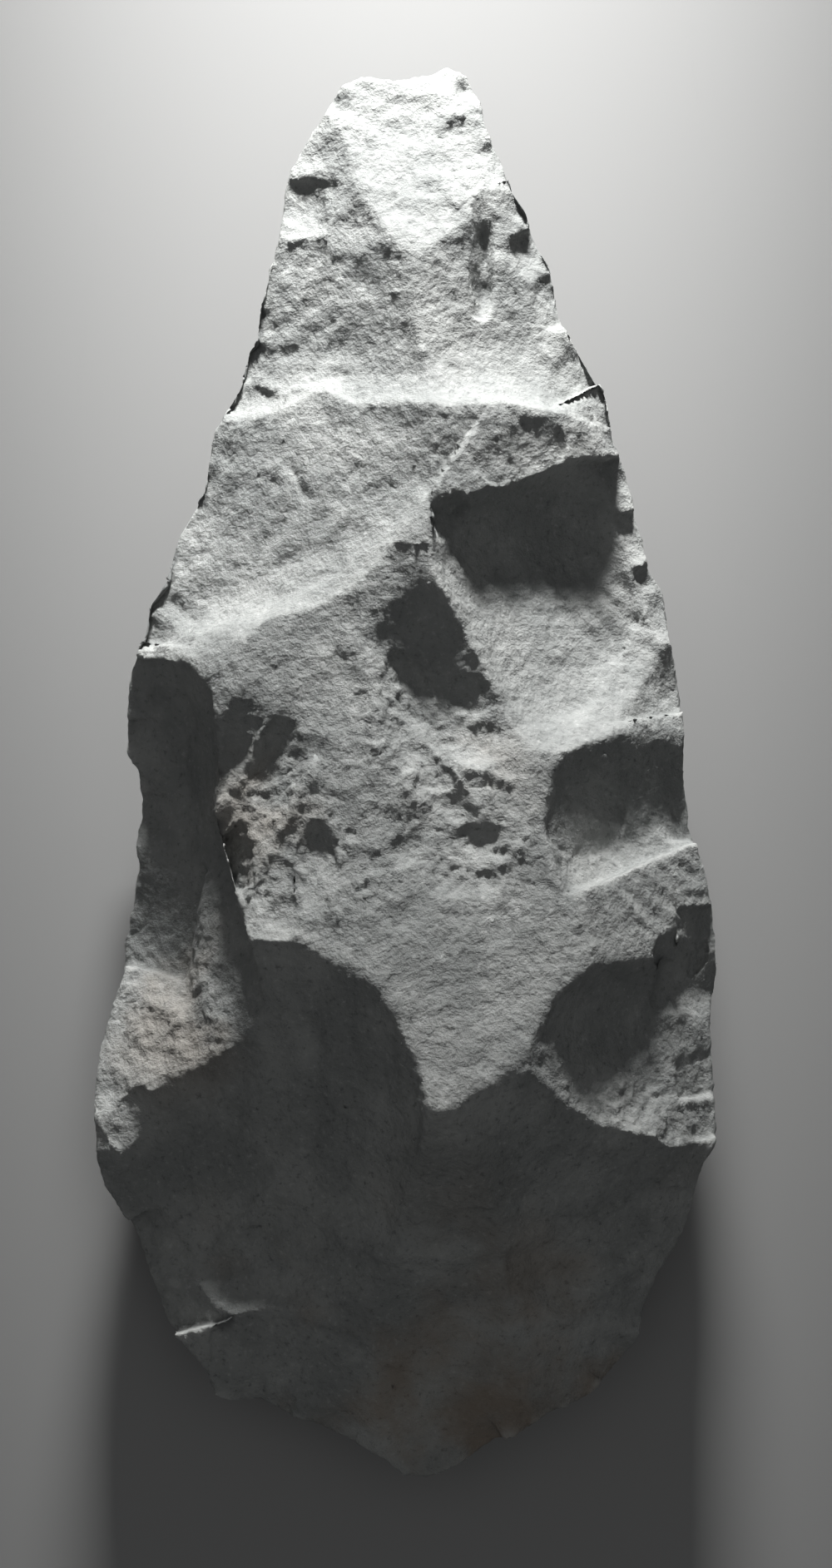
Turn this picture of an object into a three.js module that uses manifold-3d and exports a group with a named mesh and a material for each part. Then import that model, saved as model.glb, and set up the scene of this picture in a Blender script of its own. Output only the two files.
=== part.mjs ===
// A large stone hand axe: one lump of dark volcanic stone, flaked on both faces to a tongue shape with a
// blunt rounded butt. Millimetres. It lies on its back: X across, Y from the butt to the tip, Z up.
import * as THREE from 'three';
import { mergeVertices } from 'three/addons/utils/BufferGeometryUtils.js';
import Module from 'manifold-3d';

// ---- Driving dimensions -----------------------------------------------------------------------------

const STONE_COLOUR = 0x767a75;
const STONE_ROUGHNESS = 0.88;

const TIP_END = 119;             // y of the tip, and -TIP_END of the butt: the axe is 238 long
const HALF_WIDTH = 52.6;         // x of the widest part of the outline, on both sides
const EDGE_LEVEL = 20;           // height of the cutting edge above the flat back, on average
const EDGE_THICKNESS = 2.4;      // the edge is this blunt
const EDGE_LEAST = 1.2;          // and nowhere thinner than this
const DOME_POWER = 2.2;          // how full the unflaked lump is from its edge to its crest
const SPARE_STONE = 3;           // what the unflaked lump stands above the crest
const FLAT_HALF_WIDTH = 17;      // the flat of the back, left between the flakes
const ABOVE = 70;                // the straight prism of the outline runs from this level
const BELOW = -20;               // down to this one, and each cutting tool runs past it
const BACK_FLAKES = 6;           // flakes down each side of the back
const BACK_HOLLOW = [2.2, 3.6];  // least and most depth of a flake scar on the back
const BACK_FAN = 35;             // such a scar turns this far, in degrees, by the tip and the butt
const BACK_ROW_END = 94;         // the rows of these flakes end at this y, towards the tip and the butt
const BACK_OVERLAP = 0.72;       // half length of a scar, as a share of the distance to the next
const BACK_STAGGER = 0.15;       // the two rows stand this share of that distance apart
const BACK_SHIFT = 0.3;          // and each scar is up to half this share out of place
const CLEARANCE = 2;
const CHIP_MIN_RUN = 4.5;        // a shorter run between two corners of the outline has no chip
const CHIP_REACH = [3.5, 8];     // least and most that a chip runs in from the edge
const CHIP_BITE = [0.3, 1.3];    // its depth
const CHIP_BITE_BACK = [0.5, 1.3];
const CHIP_GRADE = [0.45, 0.85]; // its slope up from the edge
const CHIP_TWIST = 0.35;         // how far it leans along the edge, as a slope
const CHIP_HOLLOW = 0.8;
const FACET = { front: 5, back: 7 }; // side of a facet inside a flake scar
const LUMP_FACET = 6;            // side of a facet of the unflaked lump
const TOOL_MARGIN = 1.3;         // how far a scar is carried on past its reach
const END_STOP = 2.5;
const SEARCH_SHARES = [0, 0.25, 0.5, 0.75, 1];

// The crest of the lump along its length, [y, z], and the line of the crest seen from above, [y, x].
const CREST = [[-125, 14], [-119, 22], [-100, 33], [-80, 42], [-55, 50], [-20, 48], [20, 43], [60, 38.5],
  [84, 34.5], [104, 29], [119, 22], [125, 18]];
const SPINE = [[-119, 2], [-80, 0], [-55, 2], [-20, 2], [20, -2], [60, 1], [84, 0], [119, 4]];

// The level of the unflaked back along its length, cut off flat at z = 0, and how the flat narrows.
const BACK_DOME = [[-119, 15], [-100, 6], [-80, 1], [-60, -3], [20, -3], [45, 1], [90, 9], [119, 16]];
const FLAT_TAPER = [[-100, 0.3], [-60, 1], [10, 1], [60, 0.4], [119, 0.2]];

// The scars at the two ends of the back.
const BACK_ENDS = [
  { x: 2, y: 99, a: 11, b: 15, turn: 0, hollow: 2.2 },
  { x: -2, y: -101, a: 17, b: 14, turn: 0, hollow: 2.6 },
];

// The outline, clockwise from the notch in the tip. Each point is a corner between two nicks of the edge.
const OUTLINE = [
  [-2, 116.2], [2.5, 117], [7, 119], [10.4, 117.6], [12.6, 113.5], [13.4, 108.3], [16.9, 101.2], [17.9, 97.3],
  [20.2, 93.8], [21.4, 90], [24.2, 85], [25.8, 76.7], [27.2, 74], [31.4, 66.6], [33.3, 63.8], [34.8, 55.8],
  [37.2, 51.2], [39.2, 42.3], [41.5, 34.4], [43.8, 30.4], [45, 22.7], [46.6, 12.4], [47, 0.6], [48.1, -9.3],
  [50.3, -16.5], [52.1, -24.5], [52.6, -33.9], [51.6, -40], [51.7, -52], [52.3, -59.5], [51.6, -63],
  [49.8, -65.3], [48.4, -72], [46, -79.6], [43.1, -83.6], [40, -90.3], [39, -95.7], [34.6, -101.5],
  [31.8, -104.5], [28.5, -106.5], [23.2, -108.1], [18.5, -111.4], [14.9, -112.1], [8.5, -117], [5.8, -118.6],
  [2.1, -119], [-0.4, -118.4], [-3.1, -115.9], [-10.3, -111.8], [-20.2, -108.4], [-24.5, -106.2],
  [-30.1, -106.5], [-32.3, -105.4], [-33.9, -101.2], [-35.9, -98.1], [-40.3, -93.6], [-42.8, -85.9],
  [-46.1, -77.8], [-50.8, -70.1], [-52.2, -65.2], [-52.6, -55.4], [-51.8, -46.4], [-47.6, -33.2],
  [-48.1, -29.8], [-45.4, -16.5], [-45.8, -12.4], [-44.9, -5], [-45.6, 0.6], [-47.2, 3.3], [-47.3, 8],
  [-46.4, 17.1], [-43.6, 22.9], [-42.8, 28], [-40, 31.8], [-38.2, 39.8], [-33.7, 47.2], [-31.9, 57.2],
  [-27.7, 64.5], [-26.3, 70.8], [-24.8, 72.5], [-24.5, 77], [-21.2, 90], [-20.3, 98], [-19.2, 102],
  [-14.2, 110], [-10.6, 115.4], [-7.3, 117], [-4.5, 116.7],
];

// One flake scar, a hollow at height z at (x, y). Its floor rises by gradeX and gradeY for each mm along X
// and Y, and by riseU and riseV at its reaches a and b, which lie turned by so many degrees. A high power
// gives a flat floor with steep walls.
function flake(x, y, z, gradeX, gradeY, a, b, turn, riseU, riseV, power) {
  return { x, y, z, gradeX, gradeY, a, b, turn: THREE.MathUtils.degToRad(turn), riseU, riseV, power };
}

// The scars of the front face, from the tip to the butt.
const FRONT_FLAKES = [
  flake(1, 100, 26.1, -0.05, -0.35, 19, 18, 0, 1.2, 1.5, 2),         // tip
  flake(-15, 107, 22.5, 0.52, -0.02, 9, 11, -12, 0.6, 0.8, 2),       // left of the tip
  flake(9, 105, 23.9, -0.10, -0.20, 10, 7, 14, 1.6, 2.6, 3),         // nick right of the tip
  flake(-17, 94, 21.9, 0.30, -0.24, 5.5, 5.4, 4, 1.4, 1.0, 4),       // square nick, left
  flake(-12, 78, 26.8, 0.41, -0.08, 17, 17, 0, 0.8, 3.4, 3),         // upper left
  flake(14, 80, 26.5, -0.48, -0.13, 16, 18, 0, 1.0, 4.6, 3),         // upper right
  flake(13.4, 88, 22.4, -0.12, 0, 2.9, 9.6, -3, 2.4, 1.0, 4),        // step under its top right corner
  flake(-16, 50, 30.4, 0.50, -0.18, 26, 22, 20, 0.4, 7.0, 5),        // large left scar
  flake(-38, 34, 23.2, 0.60, -0.22, 7, 12, 20, 1.6, 2.4, 3),         // its thin rim at the edge
  flake(17, 54, 33.8, -0.50, -0.06, 13, 9, 0, 0.6, 0.8, 2),          // small scar above the right hollow
  flake(26, 26, 23.6, -0.52, -0.27, 17, 23, 20, 7, 10, 4),           // deep right hollow
  flake(10, 41, 33.4, 0.2, 0, 4, 5, 10, 3, 4, 3),                    // lobe of that hollow
  flake(-44, -13, 15.5, 0.32, 0.02, 13, 30, 0, 14, 10, 4),              // deep left scar
  flake(-42, -37, 21.2, 0.66, -0.26, 14, 20, 15, 2.0, 1.6, 3),       // slope below it
  flake(-23, -9, 38.0, 0.42, -0.12, 9, 17, -15, 1.8, 2.2, 3),        // rough middle, left
  flake(-11, 2, 41.4, 0.14, -0.11, 12, 27, 0, 0.6, 0.8, 3),          // middle band
  flake(5, 15, 36.9, -0.02, 0.04, 8.5, 16, 28, 2.6, 4.2, 3),         // dip right of it
  flake(7, -6, 40.6, -0.12, 0.05, 10, 13, 20, 2.2, 2.6, 2),          // second dip
  flake(14, -26, 43.6, -0.12, -0.17, 25, 29, 0, 0.8, 1.0, 2),        // broad facet
  flake(40, -20, 31.3, -0.85, -0.20, 15, 19, 15, 2.0, 1.6, 3),       // its right slope
  flake(37, -1, 26.9, -0.74, 0.33, 12.5, 11, 20, 2.2, 2.4, 3),          // right edge, middle
  flake(-23, -52, 33.2, 0.40, 0.38, 23, 32, 0, 2.5, 2.0, 6),         // large lower left scar
  flake(39, -47, 30.0, -0.75, -0.10, 15, 14, 15, 1.0, 4.2, 3),       // lower right hollow
  flake(17, -62, 42.3, -0.47, 0.38, 15, 17, 25, 0.6, 0.8, 3),        // below the crest
  flake(48, -33, 22.5, -0.9, 0.15, 5.5, 5.5, 0, 2.0, 2.5, 3),        // nick, lower right
  flake(-42, -68, 24.4, 0.50, 0.34, 11, 14, 20, 1.4, 1.0, 3),        // butt, far left
  flake(-22, -93, 24.0, 0.18, 0.37, 19, 19, 10, 1.4, 1.0, 2),        // butt, left
  flake(6, -99, 25.9, 0.04, 0.33, 17, 21, 0, 1.2, 1.8, 2),           // butt, middle
  flake(30, -93, 24.3, -0.39, 0.32, 16, 15, 0, 1.2, 1.2, 2),         // butt, right
  flake(28, -77, 29.5, -0.50, 0.34, 17, 15, -15, 1.4, 2.4, 2),       // butt, upper right
  flake(1, -69, 39.6, 0.06, 0.62, 13, 14, 0, 0.8, 1.4, 2),           // butt, upper middle
];

// ---- Heights ----------------------------------------------------------------------------------------

// Value at a position on a line through [position, value] stations.
function along(stations, position) {
  const last = stations.length - 1;
  if (position <= stations[0][0]) return stations[0][1];
  if (position >= stations[last][0]) return stations[last][1];
  const next = stations.findIndex(([at]) => at > position);
  const [fromAt, fromValue] = stations[next - 1];
  const [toAt, toValue] = stations[next];
  return THREE.MathUtils.mapLinear(position, fromAt, toAt, fromValue, toValue);
}

// A number from 0 to 1 that is scattered but always the same for the same two numbers.
function scatter(index, salt) {
  const wave = Math.sin(index * 12.9898 + salt * 78.233) * 43758.5453;
  return wave - Math.floor(wave);
}

// Where (x, y) lies in a flake, as shares of its two reaches.
function placeInFlake(scar, x, y) {
  const dx = x - scar.x;
  const dy = y - scar.y;
  const cos = Math.cos(scar.turn);
  const sin = Math.sin(scar.turn);
  return [(dx * cos + dy * sin) / scar.a, (dy * cos - dx * sin) / scar.b];
}

// Height of a scar's floor at (x, y).
function scarHeight(scar, x, y) {
  const [u, v] = placeInFlake(scar, x, y);
  return scar.z + scar.gradeX * (x - scar.x) + scar.gradeY * (y - scar.y)
    + scar.riseU * Math.abs(u) ** scar.power + scar.riseV * Math.abs(v) ** scar.power;
}

function covers(scar, x, y) {
  const [u, v] = placeInFlake(scar, x, y);
  return Math.max(Math.abs(u), Math.abs(v)) < TOOL_MARGIN;
}

// Height of the front face, or of the back face, once its flakes are off.
function frontHeight(scars, x, y) {
  const here = scars.filter((scar) => covers(scar, x, y));
  return Math.min(ABOVE, ...here.map((scar) => scarHeight(scar, x, y)));
}

function backHeight(scars, x, y) {
  const here = scars.filter((scar) => covers(scar, x, y));
  return Math.max(0, ...here.map((scar) => scarHeight(scar, x, y)));
}

// ---- Chips along the edge ---------------------------------------------------------------------------

// The middle, inward direction and reaches of a chip between each two corners of the outline.
function chipPlaces(salt) {
  const places = OUTLINE.map(([x, y], index) => {
    const [nextX, nextY] = OUTLINE[(index + 1) % OUTLINE.length];
    const run = Math.hypot(nextX - x, nextY - y);
    const inX = (nextY - y) / run;
    const inY = (x - nextX) / run;
    const reach = THREE.MathUtils.lerp(...CHIP_REACH, scatter(index, salt));
    const middle = [x + nextX + inX * reach, y + nextY + inY * reach].map((sum) => sum / 2);
    return { index, run, inX, inY, x: middle[0], y: middle[1], a: reach * 0.8, b: run * 0.55 };
  });
  return places.filter(({ run }) => run > CHIP_MIN_RUN);
}

// A chip of the front slopes up from the edge.
const frontChips = chipPlaces(1).map(({ index, inX, inY, x, y, a, b }) => {
  const grade = THREE.MathUtils.lerp(...CHIP_GRADE, scatter(index, 5));
  const twist = CHIP_TWIST * (2 * scatter(index, 7) - 1);
  return {
    x,
    y,
    z: frontHeight(FRONT_FLAKES, x, y) - THREE.MathUtils.lerp(...CHIP_BITE, scatter(index, 3)),
    gradeX: inX * grade - inY * twist,
    gradeY: inY * grade + inX * twist,
    a,
    b,
    turn: Math.atan2(inY, inX),
    riseU: CHIP_HOLLOW,
    riseV: CHIP_HOLLOW,
    power: 2,
  };
});

const frontScars = [...FRONT_FLAKES, ...frontChips];

// Level of the lower side of the edge at each corner of the outline.
const edgeBelow = OUTLINE.map(([x, y], index) => {
  const around = [-1, 1].map((step) => OUTLINE[(index + step + OUTLINE.length) % OUTLINE.length]);
  const heights = around.flatMap(([otherX, otherY]) => SEARCH_SHARES.map((share) => {
    const edgeX = THREE.MathUtils.lerp(x, otherX, share);
    const edgeY = THREE.MathUtils.lerp(y, otherY, share);
    return frontHeight(frontScars, edgeX, edgeY);
  }));
  return Math.min(...heights) - EDGE_THICKNESS;
});

// ---- The lump before flaking ------------------------------------------------------------------------

// Where the outline lies on one side at this y, and the level of its lower side there.
function edgeAt(y, side) {
  const crossings = OUTLINE.flatMap(([cornerX, cornerY], corner) => {
    const next = (corner + 1) % OUTLINE.length;
    const [nextX, nextY] = OUTLINE[next];
    if (cornerY === nextY || (y - cornerY) * (y - nextY) > 0) return [];
    const share = (y - cornerY) / (nextY - cornerY);
    const x = THREE.MathUtils.lerp(cornerX, nextX, share);
    return [{ x, level: THREE.MathUtils.lerp(edgeBelow[corner], edgeBelow[next], share) }];
  });
  return crossings.sort((one, other) => side * (other.x - one.x))[0];
}

// How far (x, y) is from the spine, as a share of the way to the edge, and the edge's level there. The ends
// of the outline are nearly straight across, so this stops short of them.
function towardsEdge(x, y) {
  const inY = THREE.MathUtils.clamp(y, -TIP_END + END_STOP, TIP_END - END_STOP);
  const spine = along(SPINE, inY);
  const edge = edgeAt(inY, Math.sign(x - spine) || 1);
  const share = Math.abs((x - spine) / (edge.x - spine));
  return { share: Math.min(1, share), level: edge.level };
}

function lumpTop(x, y) {
  const fullness = 1 - towardsEdge(x, y).share ** DOME_POWER;
  return SPARE_STONE + THREE.MathUtils.lerp(EDGE_LEVEL, along(CREST, y), fullness);
}

function lumpBottom(x, y) {
  const { share, level } = towardsEdge(x, y);
  return THREE.MathUtils.lerp(level, along(BACK_DOME, y), 1 - share ** DOME_POWER);
}

// ---- The back face ----------------------------------------------------------------------------------

// A scar of the back whose rim lies on the face that it was struck from.
function backScar(face, { x, y, a, b, turn, hollow }) {
  const cos = Math.cos(turn);
  const sin = Math.sin(turn);
  const ends = [-1, 1].map((end) => face(x + end * a * cos, y + end * a * sin));
  const sides = [-1, 1].map((end) => face(x - end * b * sin, y + end * b * cos));
  const slopeU = (ends[1] - ends[0]) / (2 * a);
  const slopeV = (sides[1] - sides[0]) / (2 * b);
  return {
    x,
    y,
    z: (ends[0] + ends[1] + sides[0] + sides[1]) / 4 + hollow,
    gradeX: slopeU * cos - slopeV * sin,
    gradeY: slopeU * sin + slopeV * cos,
    a,
    b,
    turn,
    riseU: -hollow,
    riseV: -hollow,
    power: 2,
  };
}

// A row of flakes down one side of the back.
function backRow(side) {
  const pitch = 2 * BACK_ROW_END / BACK_FLAKES;
  return Array.from({ length: BACK_FLAKES }, (_, row) => {
    const stagger = BACK_STAGGER * side + BACK_SHIFT * (scatter(row, side) - 0.5);
    const y = -BACK_ROW_END + pitch * (row + 0.5 + stagger);
    const outer = edgeAt(y, side).x;
    const inner = side * FLAT_HALF_WIDTH * along(FLAT_TAPER, y);
    const fan = side * BACK_FAN * (y / TIP_END) + BACK_FAN / 2 * (scatter(row, side + 5) - 0.5);
    return {
      x: (outer + inner) / 2,
      y,
      a: Math.abs(outer - inner) / 2,
      b: pitch * BACK_OVERLAP,
      turn: THREE.MathUtils.degToRad(fan),
      hollow: THREE.MathUtils.lerp(...BACK_HOLLOW, scatter(row, side + 3)),
    };
  });
}

const backPlaces = [...BACK_ENDS, ...backRow(-1), ...backRow(1)];
const backFlakes = backPlaces.map((place) => backScar(lumpBottom, place));

const backFace = (x, y) => Math.max(lumpBottom(x, y), backHeight(backFlakes, x, y));

const backChips = chipPlaces(-1).map(({ index, inX, inY, x, y, a, b }) => {
  const hollow = THREE.MathUtils.lerp(...CHIP_BITE_BACK, scatter(index, 1));
  return backScar(backFace, { x, y, a, b, turn: Math.atan2(inY, inX), hollow });
});

// A back chip is left out where it would leave the edge too thin.
function leavesEdge(chip) {
  const shares = SEARCH_SHARES.map((share) => (2 * share - 1) * TOOL_MARGIN);
  return shares.every((u) => shares.every((v) => {
    const x = chip.x + u * chip.a * Math.cos(chip.turn) - v * chip.b * Math.sin(chip.turn);
    const y = chip.y + u * chip.a * Math.sin(chip.turn) + v * chip.b * Math.cos(chip.turn);
    const left = frontHeight(frontScars, x, y) - scarHeight(chip, x, y);
    return left > EDGE_LEAST || towardsEdge(x, y).share === 1;
  }));
}

const backScars = [...backFlakes, ...backChips.filter(leavesEdge)];

// ---- Solids -----------------------------------------------------------------------------------------

const wasm = await Module();
wasm.setup();

function solidOf(geometry) {
  geometry.deleteAttribute('normal');
  geometry.deleteAttribute('uv');
  const merged = mergeVertices(geometry);
  return new wasm.Manifold(new wasm.Mesh({
    numProp: 3,
    vertProperties: new Float32Array(merged.attributes.position.array),
    triVerts: new Uint32Array(merged.index.array),
  }));
}

// A level past the end of the prism, on the front or the back.
function pastEnd(side) {
  return side > 0 ? ABOVE + CLEARANCE : BELOW - CLEARANCE;
}

// A slab over the front of the lump, or under its back, that trims a straight prism of the outline to it.
function trimSolid(heightAt, side) {
  const across = Math.ceil(2 * HALF_WIDTH / LUMP_FACET) + 2;
  const down = Math.ceil(2 * TIP_END / LUMP_FACET) + 2;
  const slab = new THREE.BoxGeometry(across * LUMP_FACET, down * LUMP_FACET, 2, across, down, 1);
  const position = slab.attributes.position;
  for (let index = 0; index < position.count; index += 1) {
    const onLump = position.getZ(index) * side < 0;
    position.setZ(index, onLump ? heightAt(position.getX(index), position.getY(index)) : pastEnd(side));
  }
  return solidOf(slab);
}

function outlinePrism() {
  const shape = new THREE.Shape(OUTLINE.map(([x, y]) => new THREE.Vector2(x, y)));
  const prism = new THREE.ExtrudeGeometry(shape, { depth: ABOVE - BELOW, bevelEnabled: false });
  prism.translate(0, 0, BELOW);
  return solidOf(prism);
}

// The stone that one flake takes with it: a block over its scar, or under it on the back.
function flakeSolid(scar, side) {
  const width = 2 * TOOL_MARGIN * scar.a;
  const length = 2 * TOOL_MARGIN * scar.b;
  const facet = side > 0 ? FACET.front : FACET.back;
  const across = Math.max(2, Math.round(width / facet));
  const down = Math.max(2, Math.round(length / facet));
  const block = new THREE.BoxGeometry(width, length, 2, across, down, 1);
  block.rotateZ(scar.turn);
  block.translate(scar.x, scar.y, 0);
  const position = block.attributes.position;
  for (let index = 0; index < position.count; index += 1) {
    const x = position.getX(index);
    const y = position.getY(index);
    const onScar = position.getZ(index) * side < 0;
    position.setZ(index, onScar ? scarHeight(scar, x, y) : pastEnd(side));
  }
  return solidOf(block);
}

// Everything below the level that the stone lies on.
function belowFlat() {
  const depth = CLEARANCE - BELOW;
  const box = new THREE.BoxGeometry(2 * (HALF_WIDTH + CLEARANCE), 2 * (TIP_END + CLEARANCE), depth);
  box.translate(0, 0, -depth / 2);
  return solidOf(box);
}

let stone = outlinePrism().subtract(trimSolid(lumpTop, 1)).subtract(trimSolid(lumpBottom, -1));
for (const scar of frontScars) stone = stone.subtract(flakeSolid(scar, 1));
for (const scar of backScars) stone = stone.subtract(flakeSolid(scar, -1));
stone = stone.subtract(belowFlat());

const cut = stone.getMesh();
const geometry = new THREE.BufferGeometry();
geometry.setAttribute('position', new THREE.BufferAttribute(cut.vertProperties, 3));
geometry.setIndex(new THREE.BufferAttribute(cut.triVerts, 1));
geometry.computeVertexNormals();

const material = new THREE.MeshStandardMaterial({
  color: STONE_COLOUR,
  roughness: STONE_ROUGHNESS,
  metalness: 0,
  flatShading: true,
});
const handAxe = new THREE.Mesh(geometry, material);
handAxe.name = 'hand_axe';

const group = new THREE.Group();
group.add(handAxe);

export default group;
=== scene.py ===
"""A large stone hand axe, lying on its back: the surface of the stone, its finish, and a plain studio.

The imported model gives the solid: its outline, its flake scars and the chips of its edge. Here the solid is
meshed finely, small scars, steps, ripples and grain are worked into it, and it gets a procedural stone.
Lengths in tables are millimetres in the axe's frame: X across, Y from the butt to the tip, Z up.
"""

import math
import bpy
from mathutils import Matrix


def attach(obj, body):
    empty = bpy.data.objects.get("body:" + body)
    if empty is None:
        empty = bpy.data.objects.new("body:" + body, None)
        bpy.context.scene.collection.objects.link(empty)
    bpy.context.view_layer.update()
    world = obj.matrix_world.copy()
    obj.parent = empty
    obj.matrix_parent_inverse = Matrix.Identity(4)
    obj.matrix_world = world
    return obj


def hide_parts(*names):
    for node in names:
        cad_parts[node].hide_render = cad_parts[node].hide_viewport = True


bl_info = {
    "name": "Stone hand axe",
    "version": (1, 0, 0),
    "blender": (4, 5, 0),
    "location": "View3D > Sidebar > Hand axe",
    "description": "Works the surface of a flaked stone hand axe and lights it",
    "category": "Object",
}

import bpy
import numpy as np
from mathutils import Vector

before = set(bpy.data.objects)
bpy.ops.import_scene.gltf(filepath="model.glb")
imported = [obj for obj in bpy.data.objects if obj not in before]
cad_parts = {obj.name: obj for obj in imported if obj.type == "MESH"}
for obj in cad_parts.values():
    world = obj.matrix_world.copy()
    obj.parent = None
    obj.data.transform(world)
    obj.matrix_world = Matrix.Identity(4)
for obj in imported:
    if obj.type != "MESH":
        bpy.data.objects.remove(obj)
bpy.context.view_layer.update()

AXE_NODE = "hand_axe"
MM = 0.001
TRIANGLES = 196000               # of the finished mesh
RIDGE_ROUNDS = 6                 # rounds of averaging that round a ridge a little
WORN_ROUNDS = 160                # and those that wear down a step
MERGE_DISTANCE = 0.01 * MM
FRONT_SLOPE = 0.05               # the front is where the surface faces up more than this
GROUP_STEPS = 20                 # a vertex group keeps its weights in this many steps
MIN_SCAR_POINTS = 10

# Size of the lumps of each layer of unevenness, and the detail in it.
SWELL_SIZE, SWELL_DETAIL = 14 * MM, 1
LUMP_SIZE, LUMP_DETAIL = 3.6 * MM, 2
PIT_SIZE, PIT_DETAIL = 2.4 * MM, 2
GRAIN_SIZE, GRAIN_DETAIL = 1.1 * MM, 2


# ---- Settings -------------------------------------------------------------------------------------------


class StoneSettings(bpy.types.PropertyGroup):
    """Sizes and colours of the stone."""

    cell: bpy.props.FloatProperty(
        name="Mesh size", description="Side of a face of the finished surface",
        default=0.42 * MM, min=0.0003, precision=5, unit="LENGTH")
    swell: bpy.props.FloatProperty(
        name="Swell", description="Depth of the broad unevenness of the scars",
        default=1.0 * MM, precision=5, unit="LENGTH")
    lumps: bpy.props.FloatProperty(
        name="Lumps", description="Depth of the lumps a few millimetres across",
        default=0.85 * MM, precision=5, unit="LENGTH")
    pits: bpy.props.FloatProperty(
        name="Pits", description="Depth of the pits of the coarse middle of the front",
        default=0.9 * MM, precision=5, unit="LENGTH")
    grain: bpy.props.FloatProperty(
        name="Grain", description="Depth of the crystal grain in the mesh",
        default=0.35 * MM, precision=5, unit="LENGTH")
    colour: bpy.props.FloatVectorProperty(
        name="Stone", description="Main colour of the stone", subtype="COLOR",
        default=(0.175, 0.182, 0.176), min=0, max=1)
    # The pale colour also serves as the painted highlight laid on ridges that stand out.
    pale: bpy.props.FloatVectorProperty(
        name="Pale crystals", description="Colour of the pale crystals and worn ridges", subtype="COLOR",
        default=(0.36, 0.365, 0.35), min=0, max=1)
    # The dark colour also serves as the painted shade laid in hollows.
    dark: bpy.props.FloatVectorProperty(
        name="Dark crystals", description="Colour of the dark crystals and hollows", subtype="COLOR",
        default=(0.055, 0.058, 0.058), min=0, max=1)
    stain: bpy.props.FloatVectorProperty(
        name="Earth stain", description="Colour of the earth left in the butt and the rough parts",
        subtype="COLOR", default=(0.17, 0.125, 0.085), min=0, max=1)


class StageSettings(bpy.types.PropertyGroup):
    """The floor, the lights and the camera."""

    floor_colour: bpy.props.FloatVectorProperty(
        name="Floor", description="Colour of the floor", subtype="COLOR",
        default=(0.23, 0.23, 0.226), min=0, max=1)
    key_power: bpy.props.FloatProperty(
        name="Key light", description="Power of the low light beyond the tip",
        default=0.66, min=0, unit="POWER")
    fill_power: bpy.props.FloatProperty(
        name="Fill light", description="Power of the wide light overhead",
        default=2.0, min=0, unit="POWER")
    lens: bpy.props.FloatProperty(
        name="Lens", description="Focal length of the camera in millimetres",
        default=85.0, min=10, subtype="DISTANCE_CAMERA")


# ---- Meshes ---------------------------------------------------------------------------------------------


def select_only(piece):
    """Make one object the only selected one and the active one."""
    bpy.ops.object.select_all(action="DESELECT")
    piece.select_set(True)
    bpy.context.view_layer.objects.active = piece


def apply_modifier(piece, kind, **values):
    """Add a modifier with these values and apply it."""
    modifier = piece.modifiers.new(kind.title(), kind)
    for name, value in values.items():
        setattr(modifier, name, value)
    select_only(piece)
    bpy.ops.object.modifier_apply(modifier=modifier.name)


def read_points(mesh):
    """Places of the points in millimetres, one row each."""
    values = np.empty(len(mesh.vertices) * 3, np.float32)
    mesh.vertices.foreach_get("co", values)
    return values.reshape(-1, 3).astype(float) / MM


def write_points(mesh, points):
    """Move the points to these places in millimetres."""
    mesh.vertices.foreach_set("co", (points * MM).astype(np.float32).ravel())
    mesh.update()


def read_normals(mesh):
    """Directions of the surface at the points."""
    values = np.empty(len(mesh.vertices) * 3, np.float32)
    mesh.vertices.foreach_get("normal", values)
    return values.reshape(-1, 3).astype(float)


def store_mask(mesh, name, values):
    """Keep a value for each point under a name, for the material."""
    layer = mesh.attributes.new(name, "FLOAT", "POINT")
    layer.data.foreach_set("value", values.astype(np.float32))


def weigh(piece, name, weights):
    """Keep weights from 0 to 1 as a vertex group that a modifier can use."""
    group = piece.vertex_groups.new(name=name)
    steps = np.clip(np.round(weights * GROUP_STEPS).astype(int), 0, GROUP_STEPS)
    for step in range(1, GROUP_STEPS + 1):
        group.add(np.nonzero(steps == step)[0].tolist(), step / GROUP_STEPS, "REPLACE")
    return group.name


# ---- The stone ------------------------------------------------------------------------------------------


def block_out():
    """A fine, even copy of the solid."""
    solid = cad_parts[AXE_NODE]
    select_only(solid)
    bpy.ops.object.duplicate()
    stone = bpy.context.view_layer.objects.active
    stone.name = "flaked_stone"
    stone.data.name = "flaked_stone"
    stone.parent = None
    bpy.ops.object.mode_set(mode="EDIT")
    bpy.ops.mesh.select_all(action="SELECT")
    bpy.ops.mesh.remove_doubles(threshold=MERGE_DISTANCE)
    bpy.ops.object.mode_set(mode="OBJECT")
    return stone


def relief_texture(name, size, detail, noise_type="SOFT_NOISE"):
    """A texture of lumps of one size, soft or with sharp creases."""
    texture = bpy.data.textures.new(name, "CLOUDS")
    texture.noise_scale = size
    texture.noise_depth = detail
    texture.noise_type = noise_type
    return texture


def blob(points, x, y, reach_x, reach_y, turn=0.0, soft=1.0):
    """A mask that is 1 at a place on the plan and fades out at its reach."""
    angle = math.radians(turn)
    dx = points[:, 0] - x
    dy = points[:, 1] - y
    u = (dx * math.cos(angle) + dy * math.sin(angle)) / reach_x
    v = (dy * math.cos(angle) - dx * math.sin(angle)) / reach_y
    return np.clip((1 - np.hypot(u, v)) / soft, 0, 1)


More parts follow.
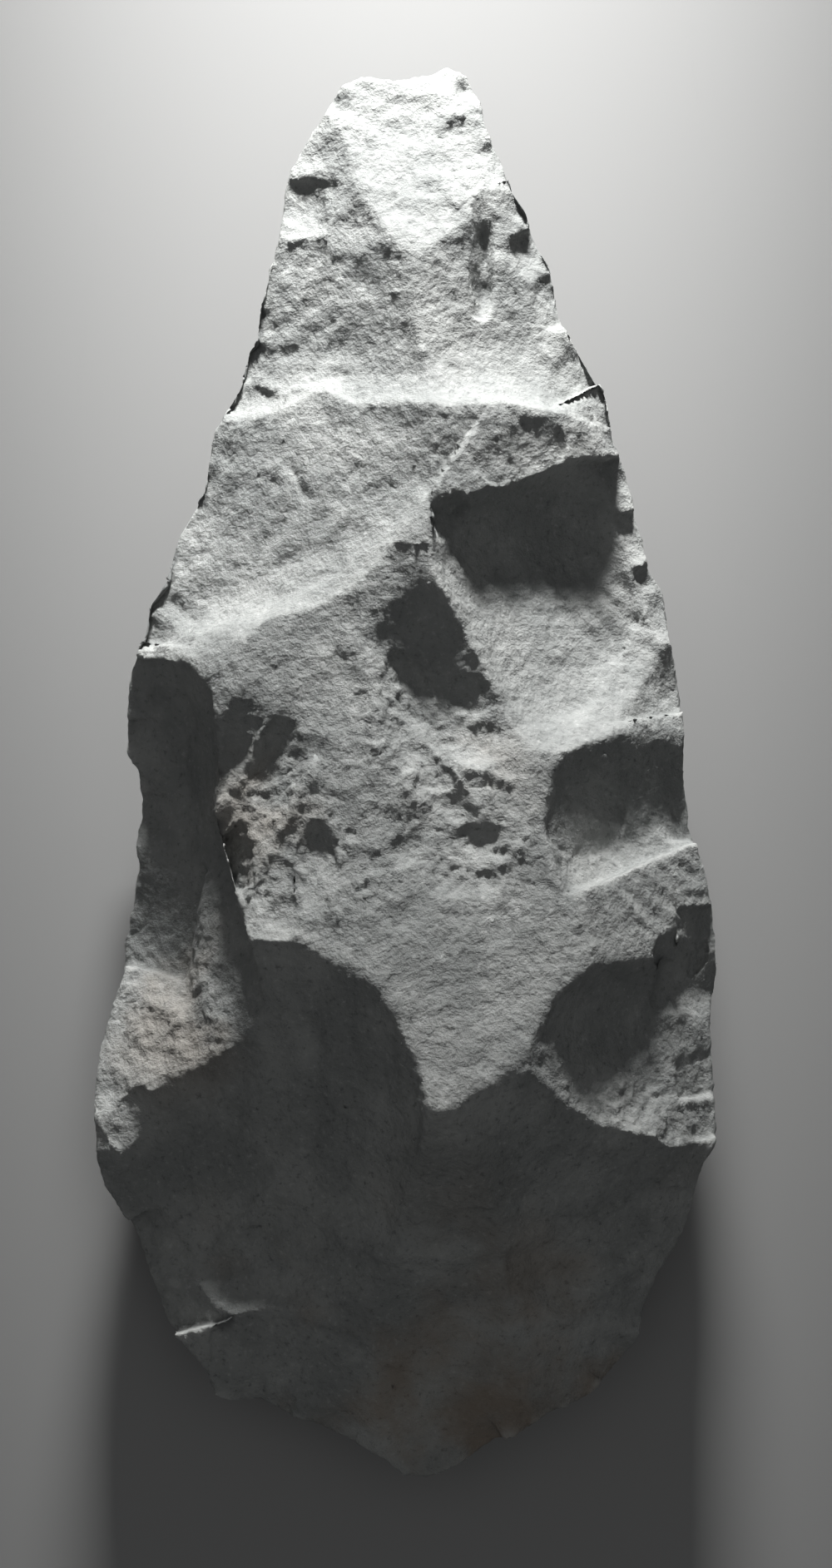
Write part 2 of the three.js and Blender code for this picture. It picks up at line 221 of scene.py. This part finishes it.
# Where the front is coarse and lumpy: x, y, reach across and along, turn.
COARSE_PARTS = [
    (-24, -8, 14, 26, -12),
    (-12, -18, 14, 14, 0),
    (4, 2, 18, 30, 20),
    (10, -12, 16, 14, 0),
    (-40, -38, 18, 24, 20),
    (36, -58, 18, 12, 0),
]

# Where the steps between scars are worn down: x, y, reach across and along, turn.
WORN_PARTS = [
    (5, 18, 15, 22, 20),
    (0, 40, 9, 8, 0),
    (-23, -2, 13, 22, -12),
    (7, -8, 12, 12, 0),
    (15, 96, 7, 8, 0),
    (38, 2, 16, 16, 20),
    (22, 90, 5, 12, 10),
    (-24, 82, 5, 16, 0),
]

# Small flake scars: x, y, reach across and along, turn, depth, and how much deeper the tip end is.
SMALL_SCARS = [
    (9, 105, 8, 5, 12, 0.5, 0.6),
    (5, 92, 5, 4, -30, 0.4, 0.3),
    (-8, 90, 5, 6, 30, 0.8, 0.7),
    (-17, 86, 5, 4, 20, 0.6, 0.6),
    (18.5, 94, 3.2, 3.5, 0, 0.7, 0.6),
    (20.5, 86, 3.6, 4.2, 15, 0.9, 0.5),
    (23.5, 80, 2.6, 4.0, 15, 0.8, 0.4),
    (-1, 71.5, 3.0, 3.2, 0, 0.35, 0.3),
    (-33, 47, 5, 8, 25, 0.6, 0.5),
    (19, 53, 8, 6, 20, 0.7, 0.5),
    (-9, 12, 4, 9, 10, 0.6, 0.4),
    (-21, 1, 4.5, 8, -15, 1.2, 0.5),
    (-28, 3, 3.0, 4, 0, 0.6, 0.5),
    (-27, -14, 4.0, 6, -20, 0.8, 0.5),
    (-14.5, -16, 4.2, 8, 0, 1.6, 0.6),
    (-20, -24, 4.5, 4, 0, 1.0, 0.6),
    (1, 8, 4.5, 12, 12, 1.5, 0.5),
    (10, 12, 5, 4, 20, 1.0, 0.6),
    (13, 4, 4, 4, 0, 0.8, 0.5),
    (7, -6, 4.0, 4.5, 0, 1.2, 0.7),
    (12, -12, 4.5, 4.0, -20, 1.1, 0.6),
    (13, -18.5, 2.5, 2.5, 0, 0.8, 0.5),
    (5, -2, 3.5, 3.0, 0, 0.8, 0.4),
    (0, -13, 3.5, 2.6, 20, 0.7, 0.4),
    (30, -8, 7, 6, 30, 0.6, 0.5),
    (46, -30, 5, 5, 0, 0.9, 0.5),
    (-46, -58, 5, 6, 10, 0.8, 0.4),
    (-30, -62, 9, 8, 20, 0.7, 0.4),
    (24, -84, 10, 8, 20, 1.2, 0.6),
    (-24, -96, 9, 7, 10, 0.8, 0.4),
    (8, -94, 8, 9, 0, 0.9, 0.4),
]

# Rims where the floor of a large scar turns up steeply: depth and reach of the hollow before the rim, and the
# path of the rim from -X to +X.
RIMS = [
    (2.1, 4.5, [(-30.6, 58.8), (-21.8, 59.9), (-17, 62.3), (-13.4, 63.7), (-8.5, 60.9), (4.2, 60.6),
                (14.7, 61.6), (28, 59.1)]),
    (2.2, 4.0, [(-37.3, 22.3), (-27.4, 24.4), (-14, 27.2), (-5.7, 32.8), (-1.5, 37.7), (2.8, 44)]),
    (0.7, 3.0, [(11, 4), (22, 3), (31, 9), (35, 17)]),
]

# Narrow ridges and cracks: height (below zero for a crack), half width, path.
RIDGES = [
    (0.9, 1.3, [(6, 30), (11, 21), (17.4, 11), (21.6, 6)]),
    (0.8, 1.2, [(-21, 10), (-26, 2), (-31, -6.5)]),
    (0.8, 1.2, [(-15, 0), (-21, -11), (-27.5, -22.3)]),
    (0.6, 1.0, [(9, 1), (12.5, 0.2), (17, -1.6)]),
    (0.5, 1.0, [(1.2, 6), (3.5, 4.5), (5.4, 2.6)]),
    (0.9, 1.6, [(-31, -79.5), (-27, -76), (-22.6, -70.2), (-18, -71), (-13, -74.5), (-9, -79), (-5, -79.5),
                (7, -80.5)]),
    (0.6, 1.3, [(0, -77.5), (5, -76)]),
    (0.8, 1.5, [(-42, -72), (-36.5, -79), (-34.5, -86), (-32, -90)]),
    (0.9, 1.6, [(19.4, -87.4), (26.4, -91.6), (38.3, -82.5)]),
    (-0.4, 0.7, [(-25, 49.6), (-21.3, 48)]),
    (-0.45, 0.7, [(-19.2, 50.8), (-16.2, 45.4)]),
    (-0.35, 0.6, [(-10, 48), (-8, 50)]),
    (-0.4, 0.8, [(16, 60), (20, 57)]),
]

# Ripples that spread from where a flake was struck: x, y of the blow, wave length, height, then the part of
# the face that they show on: x, y, reach across and along, turn.
RIPPLES = [
    (46, 40, 3.4, 0.16, (34, 30, 12, 14, 20)),
    (56, -2, 3.0, 0.12, (42, -18, 15, 14, 0)),
    (-42, 60, 5.0, 0.12, (-18, 48, 24, 18, 20)),
    (-30, 92, 4.2, 0.08, (-14, 78, 16, 16, 0)),
    (30, 84, 4.2, 0.08, (8, 74, 16, 14, 0)),
    (4, 124, 4.6, 0.06, (2, 104, 18, 18, 0)),
    (-58, -50, 6.5, 0.28, (-26, -52, 26, 30, 0)),
    (26, -118, 5.0, 0.22, (22, -86, 24, 22, 0)),
    (-22, -116, 5.0, 0.22, (-20, -92, 24, 20, 0)),
]


def read_edges(mesh):
    """The two points that each edge joins."""
    ends = np.empty(2 * len(mesh.edges), np.int32)
    mesh.edges.foreach_get("vertices", ends)
    return ends.reshape(-1, 2)


def spread(values, ends, rounds):
    """Average of each point's value with its neighbours', a number of times."""
    count = np.bincount(ends.ravel(), minlength=len(values))
    for _ in range(rounds):
        total = np.bincount(ends[:, 0], values[ends[:, 1]], len(values))
        total += np.bincount(ends[:, 1], values[ends[:, 0]], len(values))
        values = (values + total) / (1 + count)
    return values


def wear_down(points, front, ends):
    """Round the ridges a little, and the steps in the worn parts a lot."""
    points[:, 2] += (spread(points[:, 2], ends, RIDGE_ROUNDS) - points[:, 2]) * front
    worn = np.zeros(len(points))
    for part in WORN_PARTS:
        worn = np.maximum(worn, blob(points, *part, soft=0.5))
    level = spread(points[:, 2], ends, WORN_ROUNDS)
    points[:, 2] += (level - points[:, 2]) * worn * front


def path_place(points, path):
    """Distance on the plan from each point to a path, and the side of the path it lies on."""
    nearest = np.full(len(points), np.inf)
    side = np.zeros(len(points))
    for (x, y), (next_x, next_y) in zip(path, path[1:]):
        along_x, along_y = next_x - x, next_y - y
        dx, dy = points[:, 0] - x, points[:, 1] - y
        share = np.clip((dx * along_x + dy * along_y) / (along_x**2 + along_y**2), 0, 1)
        distance = np.hypot(dx - share * along_x, dy - share * along_y)
        closer = distance < nearest
        nearest[closer] = distance[closer]
        side[closer] = np.sign(along_x * dy - along_y * dx)[closer]
    return nearest, side


def cut_small_scars(points, front):
    """Small hollows, each with its rim on the surface around it."""
    for x, y, reach_x, reach_y, turn, depth, lean in SMALL_SCARS:
        angle = math.radians(turn)
        dx, dy = points[:, 0] - x, points[:, 1] - y
        u = (dx * math.cos(angle) + dy * math.sin(angle)) / reach_x
        v = (dy * math.cos(angle) - dx * math.sin(angle)) / reach_y
        inside = front & (u**2 + v**2 < 1)
        if inside.sum() < MIN_SCAR_POINTS:
            continue
        plane = np.column_stack([np.ones(inside.sum()), dx[inside], dy[inside]])
        level, slope_x, slope_y = np.linalg.lstsq(plane, points[inside, 2], rcond=None)[0]
        bowl = depth * (1 - u**2 - v**2) * (1 + lean * v)
        floor = level + slope_x * dx + slope_y * dy - bowl
        points[inside, 2] = np.minimum(points[inside, 2], floor[inside])


def cut_rims(points, front):
    """Hollows that run up to the rims. A scar lies on the tip's side of its rim."""
    for depth, reach, path in RIMS:
        distance, side = path_place(points, path)
        share = distance / reach
        points[:, 2] -= depth * share * np.exp(1 - share) * (front & (side > 0))


def raise_ridges(points, front):
    """Narrow ridges and cracks."""
    for height, width, path in RIDGES:
        distance, _ = path_place(points, path)
        points[:, 2] += height * np.exp(-(distance / width) ** 2) * front


def raise_ripples(points, front):
    """Curved waves about the place of each blow, that fade at the ends of the part they show on."""
    for x, y, length, height, part in RIPPLES:
        distance = np.hypot(points[:, 0] - x, points[:, 1] - y)
        wave = np.sin(2 * math.pi * distance / length)
        points[:, 2] += height * wave * blob(points, *part, soft=0.5) * front


def coarseness(points):
    """How coarse the front is at each point, from 0 to 1."""
    coarse = np.zeros(len(points))
    for part in COARSE_PARTS:
        coarse = np.maximum(coarse, blob(points, *part, soft=0.6))
    return coarse


def work_surface(stone, settings):
    """Unevenness of the stone, from broad to fine."""
    mesh = stone.data
    points = read_points(mesh)
    front = read_normals(mesh)[:, 2] > FRONT_SLOPE
    wear_down(points, front, read_edges(mesh))
    cut_rims(points, front)
    cut_small_scars(points, front)
    raise_ridges(points, front)
    raise_ripples(points, front)
    write_points(mesh, points)
    coarse = coarseness(points) * front
    everywhere = weigh(stone, "everywhere", np.ones(len(points)))
    coarse_group = weigh(stone, "coarse_group", coarse)
    swell = relief_texture("swell", SWELL_SIZE, SWELL_DETAIL)
    lumps = relief_texture("lumps", LUMP_SIZE, LUMP_DETAIL)
    pits = relief_texture("pits", PIT_SIZE, PIT_DETAIL, "HARD_NOISE")
    grain = relief_texture("grain", GRAIN_SIZE, GRAIN_DETAIL, "HARD_NOISE")
    for texture, depth, group in (
            (swell, settings.swell, everywhere), (lumps, settings.lumps, everywhere),
            (pits, settings.pits, coarse_group), (grain, settings.grain, everywhere)):
        apply_modifier(stone, "DISPLACE", texture=texture, texture_coords="LOCAL", strength=depth,
                       mid_level=0.5, vertex_group=group)


def store_masks(mesh):
    """Keep how coarse the stone is and how much it bends out or in, for the painted highlight on ridges and
    the painted shade in hollows.
    """
    points, normals = read_points(mesh), read_normals(mesh)
    ends = read_edges(mesh)
    reach = points[ends[:, 1]] - points[ends[:, 0]]
    length = np.linalg.norm(reach, axis=1)
    bend = np.einsum("ij,ij->i", normals[ends[:, 1]] - normals[ends[:, 0]], reach) / length**2
    count = np.bincount(ends.ravel(), minlength=len(points))
    total = np.bincount(ends[:, 0], bend, len(points)) + np.bincount(ends[:, 1], bend, len(points))
    # How far the surface bends out or in, which drives the painted highlight on ridges and the painted shade
    # in hollows.
    store_mask(mesh, "highlight_and_shade_bend", spread(total / count, ends, RIDGE_ROUNDS))
    store_mask(mesh, "coarse", spread(coarseness(points) * (normals[:, 2] > 0), ends, RIDGE_ROUNDS))


def make_axe(settings):
    """The stone: fine surface, worked relief and finish."""
    stone = block_out()
    apply_modifier(stone, "REMESH", mode="VOXEL", voxel_size=settings.cell, use_smooth_shade=True)
    work_surface(stone, settings)
    points = read_points(stone.data)
    points[:, 2] = np.maximum(points[:, 2], 0)
    write_points(stone.data, points)
    triangles = 2 * len(stone.data.polygons)
    apply_modifier(stone, "DECIMATE", ratio=TRIANGLES / triangles)
    stone.vertex_groups.clear()
    store_masks(stone.data)
    select_only(stone)
    bpy.ops.object.shade_smooth()
    stone.data.materials.clear()
    stone.data.materials.append(stone_material(settings))
    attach(stone, "root")
    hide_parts(AXE_NODE)
    return stone


# ---- Materials ------------------------------------------------------------------------------------------


# Places of a colour mix's sockets.
MIX_FACTOR, MIX_UNDER, MIX_OVER = 0, 6, 7
MIX_COLOUR = 2


class Nodes:
    """A material's node tree, with short ways to add and join nodes."""

    def __init__(self, name):
        self.material = bpy.data.materials.new(name)
        self.material.use_nodes = True
        self.tree = self.material.node_tree
        self.tree.nodes.clear()

    def add(self, kind, inputs=None, **values):
        """Add a node, set its values, and set or link its inputs."""
        node = self.tree.nodes.new(kind)
        for key, value in values.items():
            setattr(node, key, value)
        for key, value in (inputs or {}).items():
            if isinstance(value, bpy.types.NodeSocket):
                self.tree.links.new(value, node.inputs[key])
            else:
                node.inputs[key].default_value = value
        return node

    def noise(self, place, scale, detail=4.0, roughness=0.6):
        """Noise of a given number of lumps in a metre."""
        node = self.add("ShaderNodeTexNoise", {
            "Vector": place, "Scale": scale, "Detail": detail, "Roughness": roughness})
        return node.outputs["Fac"]

    def mask(self, name):
        """A value kept on the points of the mesh."""
        return self.add("ShaderNodeAttribute", attribute_name=name).outputs["Fac"]

    def ramp(self, value, low, high):
        """Stretch a value so that low becomes 0 and high becomes 1."""
        node = self.add("ShaderNodeMapRange", {
            "Value": value, "From Min": low, "From Max": high}, interpolation_type="SMOOTHSTEP")
        return node.outputs["Result"]

    def math(self, operation, *values):
        """Arithmetic on values or sockets."""
        return self.add("ShaderNodeMath", dict(enumerate(values)), operation=operation).outputs[0]

    def tint(self, under, colour, where, share):
        """Lay a colour over another where a mask is bright, at most by this share."""
        factor = self.math("MULTIPLY", where, share)
        node = self.add("ShaderNodeMix", {
            MIX_FACTOR: factor, MIX_UNDER: under, MIX_OVER: opaque(colour)}, data_type="RGBA")
        return node.outputs[MIX_COLOUR]


def opaque(colour):
    """A colour with full alpha."""
    return (*colour, 1.0)


# Lumps in a metre of each pattern, and the depth of the finest relief.
SPECKLES = 900
MOTTLES = 60
PATCHES = 34
CRYSTALS = 700
CLUSTERS = 260
CRYSTAL_HEIGHT = 0.8 * MM
EARTH_FROM, EARTH_FULL = -50 * MM, -110 * MM    # along Y: earth shows from here, and most of it here


def earth(nodes, place):
    """Where earth is left in the stone: in patches, on the butt and in the coarse parts."""
    along = nodes.add("ShaderNodeSeparateXYZ", {"Vector": place}).outputs["Y"]
    toward_butt = nodes.ramp(along, EARTH_FROM, EARTH_FULL)
    in_coarse = nodes.math("MULTIPLY", nodes.mask("coarse"), 0.5)
    patches = nodes.ramp(nodes.noise(place, PATCHES, 4), 0.48, 0.68)
    return nodes.math("MULTIPLY", patches, nodes.math("MAXIMUM", toward_butt, in_coarse))


def stone_material(settings):
    """Dark crystalline stone: mottled grey, pale and dark crystals, a painted highlight on ridges, painted
    shade in hollows and earth stains.
    """
    nodes = Nodes("dark_volcanic_stone")
    place = nodes.add("ShaderNodeTexCoord").outputs["Object"]
    highlight_and_shade_bend = nodes.mask("highlight_and_shade_bend")
    speckle = nodes.noise(place, SPECKLES, 3, 0.7)
    pale = nodes.ramp(speckle, 0.55, 0.75)
    dark = nodes.ramp(speckle, 0.45, 0.25)
    mottle = nodes.ramp(nodes.noise(place, MOTTLES, 5), 0.35, 0.7)
    base = nodes.tint(opaque(settings.colour), settings.pale, mottle, 0.5)
    base = nodes.tint(base, settings.pale, pale, 0.4)
    base = nodes.tint(base, settings.dark, dark, 0.6)
    base = nodes.tint(base, settings.stain, earth(nodes, place), 0.65)
    # Painted highlight: ridges that stand out are lightened towards the pale colour.
    base = nodes.tint(base, settings.pale, nodes.ramp(highlight_and_shade_bend, 0.12, 0.5), 0.55)
    # Painted shade: hollows are darkened towards the dark colour.
    base = nodes.tint(base, settings.dark, nodes.ramp(highlight_and_shade_bend, -0.1, -0.5), 0.6)
    height = nodes.math("ADD", nodes.math("MULTIPLY", nodes.noise(place, CRYSTALS, 4, 0.65), 0.7),
                        nodes.math("MULTIPLY", nodes.noise(place, CLUSTERS, 3), 0.3))
    bump = nodes.add("ShaderNodeBump", {"Height": height, "Strength": 1.0, "Distance": CRYSTAL_HEIGHT})
    roughness = nodes.math("SUBTRACT", 0.86, nodes.math("MULTIPLY", pale, 0.28))
    shader = nodes.add("ShaderNodeBsdfPrincipled", {
        "Base Color": base, "Roughness": roughness, "Normal": bump.outputs["Normal"]})
    nodes.add("ShaderNodeOutputMaterial", {"Surface": shader.outputs["BSDF"]})
    return nodes.material


def floor_material(settings):
    """Plain matt floor."""
    nodes = Nodes("plain_floor")
    shader = nodes.add("ShaderNodeBsdfPrincipled", {
        "Base Color": opaque(settings.floor_colour), "Roughness": 0.9})
    nodes.add("ShaderNodeOutputMaterial", {"Surface": shader.outputs["BSDF"]})
    return nodes.material


# ---- The stage ------------------------------------------------------------------------------------------

VIEW_LONG = 264.5 * MM            # what the camera takes in along its long side, at the level of the edge
VIEW_CENTRE = (1.8 * MM, -2.0 * MM, 20 * MM)
SENSOR = 36.0

TIP_PLACE = (0, 90 * MM, 25 * MM)  # where the low light's rise and distance are measured from
KEY_ELEVATION = 17.0
KEY_DISTANCE = 0.5
KEY_SPREAD = 30.0
KEY_SIZE = (140 * MM, 50 * MM)
KEY_TARGET = (0, 150 * MM, 0)      # short of the tip, so that the light falls off towards the butt

FILL_PLACE = (0, -0.1, 1.2)
FILL_TARGET = (0, 0, 35 * MM)
FILL_SIZE = (1.5, 1.5)

FLOOR_SIZE = 6.0
WORLD_COLOUR = (0.8, 0.82, 0.85, 1)
WORLD_STRENGTH = 0.1


def soft_light(name, place, target, size, power):
    """A wide soft light that points at a target and isn't seen itself."""
    bpy.ops.object.light_add(type="AREA", location=place)
    light = bpy.context.object
    light.name = name
    light.data.name = name
    light.data.shape = "RECTANGLE"
    light.data.size, light.data.size_y = size
    light.data.energy = power
    light.rotation_euler = (Vector(target) - Vector(place)).to_track_quat("-Z", "Y").to_euler()
    light.visible_camera = False
    return light


def make_stage(settings):
    """Floor, lights and camera."""
    bpy.ops.object.select_all(action="DESELECT")
    bpy.ops.mesh.primitive_plane_add(size=FLOOR_SIZE)
    floor = bpy.context.object
    floor.name = "floor"
    floor.data.materials.append(floor_material(settings))

    rise = math.radians(KEY_ELEVATION)
    key_place = Vector(TIP_PLACE) + KEY_DISTANCE * Vector((0, math.cos(rise), math.sin(rise)))
    key = soft_light("key_light", key_place, KEY_TARGET, KEY_SIZE, settings.key_power)
    key.data.spread = math.radians(KEY_SPREAD)
    soft_light("fill_light", FILL_PLACE, FILL_TARGET, FILL_SIZE, settings.fill_power)
    world = bpy.data.worlds.new("studio")
    world.use_nodes = True
    background = world.node_tree.nodes["Background"]
    background.inputs["Color"].default_value = WORLD_COLOUR
    background.inputs["Strength"].default_value = WORLD_STRENGTH
    bpy.context.scene.world = world
    bpy.context.scene.view_settings.view_transform = "Standard"

    distance = VIEW_LONG * settings.lens / SENSOR
    bpy.ops.object.camera_add(
        location=(VIEW_CENTRE[0], VIEW_CENTRE[1], VIEW_CENTRE[2] + distance), rotation=(0, 0, 0))
    camera = bpy.context.object
    camera.name = "camera"
    camera.data.lens = settings.lens
    camera.data.sensor_width = SENSOR
    bpy.context.scene.camera = camera


# ---- Operators and panel --------------------------------------------------------------------------------


class HANDAXE_OT_stone(bpy.types.Operator):
    """Work the surface of the axe over the solid"""

    bl_idname = "handaxe.stone"
    bl_label = "Hand axe"

    def execute(self, context):
        make_axe(context.scene.hand_axe_stone)
        return {"FINISHED"}


class HANDAXE_OT_stage(bpy.types.Operator):
    """Add the floor, the lights and the camera"""

    bl_idname = "handaxe.stage"
    bl_label = "Stage"

    def execute(self, context):
        make_stage(context.scene.hand_axe_stage)
        return {"FINISHED"}


class HANDAXE_PT_panel(bpy.types.Panel):
    """The steps, in order"""

    bl_idname = "HANDAXE_PT_panel"
    bl_label = "Hand axe"
    bl_space_type = "VIEW_3D"
    bl_region_type = "UI"
    bl_category = "Hand axe"

    def draw(self, context):
        self.layout.operator("handaxe.stone")
        self.layout.operator("handaxe.stage")


CLASSES = (StoneSettings, StageSettings, HANDAXE_OT_stone, HANDAXE_OT_stage, HANDAXE_PT_panel)


def register():
    """Add the settings, the operators and the panel."""
    for cls in CLASSES:
        bpy.utils.register_class(cls)
    bpy.types.Scene.hand_axe_stone = bpy.props.PointerProperty(type=StoneSettings)
    bpy.types.Scene.hand_axe_stage = bpy.props.PointerProperty(type=StageSettings)


def unregister():
    """Take them away again."""
    del bpy.types.Scene.hand_axe_stage
    del bpy.types.Scene.hand_axe_stone
    for cls in reversed(CLASSES):
        bpy.utils.unregister_class(cls)


def main():
    """Make the piece and the stage."""
    register()
    bpy.ops.handaxe.stone()
    bpy.ops.handaxe.stage()


if __name__ == "__main__":
    main()
